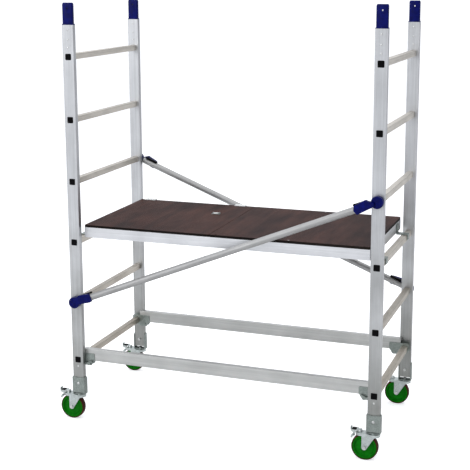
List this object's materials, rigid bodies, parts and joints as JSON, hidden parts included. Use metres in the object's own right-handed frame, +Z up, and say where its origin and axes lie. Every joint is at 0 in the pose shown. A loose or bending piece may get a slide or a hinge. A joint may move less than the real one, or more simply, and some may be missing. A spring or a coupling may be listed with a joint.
{
  "type": "mobile tower scaffold",
  "caption": "Mobile tower scaffold of two ladder frames on braked swivel castors, joined by diagonal braces and foot bars, with a hatch platform.",
  "frame": {"origin": "on the floor, under the middle of the whole object's box", "axes": "+X along the bay to the right end frame, +Y towards the rear brace, +Z up"},
  "size_m": [1.6397, 0.8306, 2.0655],
  "materials": {
    "stile_aluminium": "drawn, satin, with fine lines along the length",
    "rung_aluminium": "ribbed, mill finish, slightly warm",
    "bar_aluminium": "drawn, satin",
    "brace_aluminium": "drawn tube, mill finish",
    "black_plastic": "moulded, fine grain",
    "blue_plastic": "moulded, slight sheen",
    "green_plastic": "moulded, smooth",
    "red_rubber": "dark red-brown polyurethane tread",
    "film_faced_ply": "dark brown film-faced plywood with a fine mesh print",
    "galvanised_steel": "zinc plated pressed steel",
    "zinc_plated_steel": "bright zinc plated"
  },
  "bodies": {
    "tower_frame": {"stile_front_left": "stile_aluminium", "stile_rear_left": "stile_aluminium", "stile_front_right": "stile_aluminium", "stile_rear_right": "stile_aluminium", "rungs_left": "rung_aluminium", "rungs_right": "rung_aluminium", "rung_plugs": "black_plastic", "stacking_spigots": "blue_plastic", "stile_rivets": "zinc_plated_steel", "foot_bolts": "zinc_plated_steel", "castor_brackets": "galvanised_steel", "king_pins": "zinc_plated_steel", "swivel_races": "zinc_plated_steel", "front_bar": "bar_aluminium", "rear_bar": "bar_aluminium", "front_bar_hooks": "galvanised_steel", "rear_bar_hooks": "galvanised_steel"},
    "castor_front_left": {"fork_front_left": "galvanised_steel", "pins_front_left": "zinc_plated_steel"},
    "wheel_front_left": {"wheel_core_front_left": "green_plastic", "tread_front_left": "red_rubber"},
    "brake_front_left": {"pedal_front_left": "galvanised_steel"},
    "castor_rear_left": {"fork_rear_left": "galvanised_steel", "pins_rear_left": "zinc_plated_steel"},
    "wheel_rear_left": {"wheel_core_rear_left": "green_plastic", "tread_rear_left": "red_rubber"},
    "brake_rear_left": {"pedal_rear_left": "galvanised_steel"},
    "castor_front_right": {"fork_front_right": "galvanised_steel", "pins_front_right": "zinc_plated_steel"},
    "wheel_front_right": {"wheel_core_front_right": "green_plastic", "tread_front_right": "red_rubber"},
    "brake_front_right": {"pedal_front_right": "galvanised_steel"},
    "castor_rear_right": {"fork_rear_right": "galvanised_steel", "pins_rear_right": "zinc_plated_steel"},
    "wheel_rear_right": {"wheel_core_rear_right": "green_plastic", "tread_rear_right": "red_rubber"},
    "brake_rear_right": {"pedal_rear_right": "galvanised_steel"},
    "platform": {"side_rails": "bar_aluminium", "cross_beams": "bar_aluminium", "rung_hooks": "galvanised_steel", "deck_panel": "film_faced_ply", "deck_screws": "zinc_plated_steel", "hinge_rail_leaves": "zinc_plated_steel", "hinge_pins": "zinc_plated_steel"},
    "hatch": {"hatch_panel": "film_faced_ply", "hinge_hatch_leaves": "zinc_plated_steel", "hatch_plate": "zinc_plated_steel"},
    "lifting_ring": {"hatch_ring": "zinc_plated_steel"},
    "front_brace": {"front_brace_tube": "brace_aluminium", "front_brace_clips": "blue_plastic"},
    "front_lever_low": {"front_brace_lever_low": "black_plastic"},
    "front_lever_high": {"front_brace_lever_high": "black_plastic"},
    "rear_brace": {"rear_brace_tube": "brace_aluminium", "rear_brace_clips": "blue_plastic"},
    "rear_lever_low": {"rear_brace_lever_low": "black_plastic"},
    "rear_lever_high": {"rear_brace_lever_high": "black_plastic"},
    "wing_front_left": {"wing_latch_front_left": "galvanised_steel"},
    "wing_rear_left": {"wing_latch_rear_left": "galvanised_steel"},
    "wing_front_right": {"wing_latch_front_right": "galvanised_steel"},
    "wing_rear_right": {"wing_latch_rear_right": "galvanised_steel"}
  },
  "joints": [
    {"name": "swivel_front_left", "type": "hinge", "parent": "tower_frame", "child": "castor_front_left", "pos_m": [-0.71315, -0.3625, 0.1275], "axis": [0, 0, 1], "continuous": true},
    {"name": "roll_front_left", "type": "hinge", "parent": "castor_front_left", "child": "wheel_front_left", "pos_m": [-0.75315, -0.3625, 0.0625], "axis": [0, 1, 0], "continuous": true},
    {"name": "brake_front_left", "type": "hinge", "parent": "castor_front_left", "child": "brake_front_left", "pos_m": [-0.77515, -0.3625, 0.1368], "axis": [0, -1, 0], "range_deg": [0, 8]},
    {"name": "swivel_rear_left", "type": "hinge", "parent": "tower_frame", "child": "castor_rear_left", "pos_m": [-0.71315, 0.3625, 0.1275], "axis": [0, 0, 1], "continuous": true},
    {"name": "roll_rear_left", "type": "hinge", "parent": "castor_rear_left", "child": "wheel_rear_left", "pos_m": [-0.75315, 0.3625, 0.0625], "axis": [0, 1, 0], "continuous": true},
    {"name": "brake_rear_left", "type": "hinge", "parent": "castor_rear_left", "child": "brake_rear_left", "pos_m": [-0.77515, 0.3625, 0.1368], "axis": [0, -1, 0], "range_deg": [0, 8]},
    {"name": "swivel_front_right", "type": "hinge", "parent": "tower_frame", "child": "castor_front_right", "pos_m": [0.78685, -0.3625, 0.1275], "axis": [0, 0, 1], "continuous": true},
    {"name": "roll_front_right", "type": "hinge", "parent": "castor_front_right", "child": "wheel_front_right", "pos_m": [0.74685, -0.3625, 0.0625], "axis": [0, 1, 0], "continuous": true},
    {"name": "brake_front_right", "type": "hinge", "parent": "castor_front_right", "child": "brake_front_right", "pos_m": [0.72485, -0.3625, 0.1368], "axis": [0, -1, 0], "range_deg": [0, 8]},
    {"name": "swivel_rear_right", "type": "hinge", "parent": "tower_frame", "child": "castor_rear_right", "pos_m": [0.78685, 0.3625, 0.1275], "axis": [0, 0, 1], "continuous": true},
    {"name": "roll_rear_right", "type": "hinge", "parent": "castor_rear_right", "child": "wheel_rear_right", "pos_m": [0.74685, 0.3625, 0.0625], "axis": [0, 1, 0], "continuous": true},
    {"name": "brake_rear_right", "type": "hinge", "parent": "castor_rear_right", "child": "brake_rear_right", "pos_m": [0.72485, 0.3625, 0.1368], "axis": [0, -1, 0], "range_deg": [0, 8]},
    {"name": "platform_lift", "type": "slide", "parent": "tower_frame", "child": "platform", "axis": [0, 0, 1], "range_m": [0, 0.2]},
    {"name": "hatch_hinge", "type": "hinge", "parent": "platform", "child": "hatch", "pos_m": [0.03685, 0.3423, 0.997], "axis": [-1, 0, 0], "range_deg": [0, 92]},
    {"name": "ring_hinge", "type": "hinge", "parent": "hatch", "child": "lifting_ring", "pos_m": [-0.15415, 0.111, 0.9998], "axis": [-1, 0, 0], "range_deg": [0, 100]},
    {"name": "front_brace_pull", "type": "slide", "parent": "tower_frame", "child": "front_brace", "axis": [0, -1, 0], "range_m": [0, 0.06]},
    {"name": "front_lever_low", "type": "hinge", "parent": "front_brace", "child": "front_lever_low", "pos_m": [-0.67835, -0.3943, 0.64936], "axis": [0, -1, 0], "range_deg": [0, 18], "stiffness_Nm_per_rad": 0.4, "springref_deg": -8.59},
    {"name": "front_lever_high", "type": "hinge", "parent": "front_brace", "child": "front_lever_high", "pos_m": [0.73623, -0.3943, 1.21519], "axis": [0, 1, 0], "range_deg": [0, 18], "stiffness_Nm_per_rad": 0.4, "springref_deg": -8.59},
    {"name": "rear_brace_pull", "type": "slide", "parent": "tower_frame", "child": "rear_brace", "axis": [0, 1, 0], "range_m": [0, 0.06]},
    {"name": "rear_lever_low", "type": "hinge", "parent": "rear_brace", "child": "rear_lever_low", "pos_m": [0.75205, 0.3943, 0.64936], "axis": [0, 1, 0], "range_deg": [0, 18], "stiffness_Nm_per_rad": 0.4, "springref_deg": -8.59},
    {"name": "rear_lever_high", "type": "hinge", "parent": "rear_brace", "child": "rear_lever_high", "pos_m": [-0.66253, 0.3943, 1.21519], "axis": [0, -1, 0], "range_deg": [0, 18], "stiffness_Nm_per_rad": 0.4, "springref_deg": -8.59},
    {"name": "wing_front_left", "type": "hinge", "parent": "tower_frame", "child": "wing_front_left", "pos_m": [-0.66315, -0.333, 0.2922], "axis": [0, -1, 0], "range_deg": [0, 90]},
    {"name": "wing_rear_left", "type": "hinge", "parent": "tower_frame", "child": "wing_rear_left", "pos_m": [-0.66315, 0.333, 0.2922], "axis": [0, -1, 0], "range_deg": [0, 90]},
    {"name": "wing_front_right", "type": "hinge", "parent": "tower_frame", "child": "wing_front_right", "pos_m": [0.73685, -0.333, 0.2922], "axis": [0, 1, 0], "range_deg": [0, 90]},
    {"name": "wing_rear_right", "type": "hinge", "parent": "tower_frame", "child": "wing_rear_right", "pos_m": [0.73685, 0.333, 0.2922], "axis": [0, 1, 0], "range_deg": [0, 90]}
  ]
}
